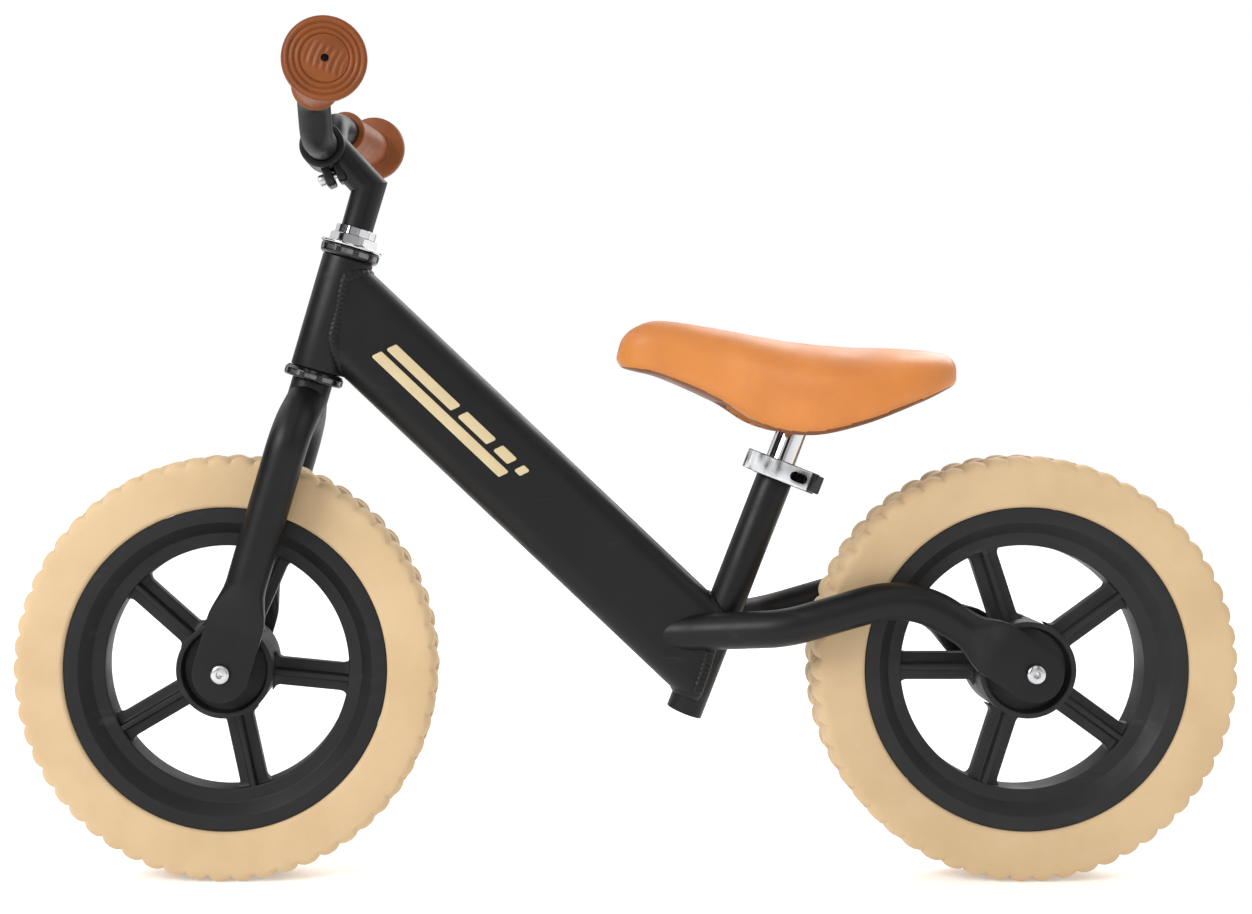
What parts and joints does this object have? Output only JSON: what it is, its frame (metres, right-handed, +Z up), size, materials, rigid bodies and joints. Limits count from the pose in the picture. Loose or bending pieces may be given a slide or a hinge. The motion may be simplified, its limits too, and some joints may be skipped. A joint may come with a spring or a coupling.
{
  "type": "balance bike",
  "caption": "Child's balance bike with a steel frame and fork, moulded spoked wheels, foam tyres, padded saddle and a rising handlebar.",
  "frame": {"origin": "on the ground, midway between the axles, in the bike's middle plane", "axes": "+Z up, -Y towards the front wheel, +X to the rider's left"},
  "size_m": [0.395, 0.8498, 0.5625],
  "materials": {
    "frame_paint": "satin",
    "black_steel": "gloss",
    "rim_plastic": "matte",
    "chrome": "mirror",
    "zinc": "satin",
    "collar_alloy": "satin",
    "tyre_foam": "matte",
    "grip_rubber": "matte",
    "saddle_leather": "satin"
  },
  "bodies": {
    "frame": {"head_tube": "frame_paint", "down_tube": "frame_paint", "seat_tube": "frame_paint", "rear_stay_left": "frame_paint", "rear_stay_right": "frame_paint", "upper_cup": "black_steel", "lower_cup": "black_steel", "seat_collar": "collar_alloy", "clamp_skewer": "zinc", "clamp_washer": "rim_plastic", "rear_axle": "zinc", "rear_spacer_left": "rim_plastic", "rear_spacer_right": "rim_plastic", "rear_axle_bolt_left": "zinc", "rear_axle_bolt_right": "zinc"},
    "fork": {"fork_steerer": "frame_paint", "fork_crown": "frame_paint", "fork_leg_left": "frame_paint", "fork_leg_right": "frame_paint", "upper_bearing": "zinc", "adjusting_cone": "zinc", "headset_washer": "chrome", "headset_nut": "chrome", "lock_nut": "chrome", "lower_bearing": "zinc", "crown_race": "zinc", "front_axle": "zinc", "front_spacer_left": "rim_plastic", "front_spacer_right": "rim_plastic", "front_axle_bolt_left": "zinc", "front_axle_bolt_right": "zinc"},
    "stem": {"stem": "frame_paint", "stem_wedge": "zinc", "expander_bolt": "zinc", "pinch_bolt": "zinc", "pinch_nut": "zinc"},
    "handlebar": {"handlebar": "frame_paint", "grip_left": "grip_rubber", "grip_right": "grip_rubber"},
    "front_wheel": {"front_tyre": "tyre_foam", "front_rim": "rim_plastic", "front_bearing_left": "zinc", "front_bearing_right": "zinc"},
    "rear_wheel": {"rear_tyre": "tyre_foam", "rear_rim": "rim_plastic", "rear_bearing_left": "zinc", "rear_bearing_right": "zinc"},
    "seat": {"seatpost": "chrome", "saddle_pad": "saddle_leather", "saddle_base": "rim_plastic", "saddle_bolt_front": "zinc", "saddle_bolt_rear": "zinc"},
    "clamp_lever": {"clamp_lever": "collar_alloy", "lever_cam": "rim_plastic"},
    "clamp_nut": {"clamp_nut": "black_steel"}
  },
  "joints": [
    {"name": "steering", "type": "hinge", "parent": "frame", "child": "fork", "pos_m": [0, -0.2775, 0.1475], "axis": [0, 0.2807, 0.9598], "continuous": true},
    {"name": "stem_height", "type": "slide", "parent": "fork", "child": "stem", "axis": [0, 0.2807, 0.9598], "range_m": [-0.008, 0.025]},
    {"name": "bar_roll", "type": "hinge", "parent": "stem", "child": "handlebar", "pos_m": [0, -0.21074, 0.51118], "axis": [1, 0, 0], "range_deg": [-20, 20]},
    {"name": "front_wheel_spin", "type": "hinge", "parent": "fork", "child": "front_wheel", "pos_m": [0, -0.2775, 0.1475], "axis": [1, 0, 0], "continuous": true},
    {"name": "rear_wheel_spin", "type": "hinge", "parent": "frame", "child": "rear_wheel", "pos_m": [0, 0.2775, 0.1475], "axis": [1, 0, 0], "continuous": true},
    {"name": "seat_height", "type": "slide", "parent": "frame", "child": "seat", "axis": [0, 0.3633, 0.9317], "range_m": [-0.01, 0.045]},
    {"name": "lever_swing", "type": "hinge", "parent": "frame", "child": "clamp_lever", "pos_m": [0.0166, 0.12929, 0.27651], "axis": [0, 0.3633, 0.9317], "range_deg": [0, 150]},
    {"name": "clamp_nut_turn", "type": "hinge", "parent": "frame", "child": "clamp_nut", "pos_m": [0, 0.12929, 0.27651], "axis": [1, 0, 0], "continuous": true}
  ]
}
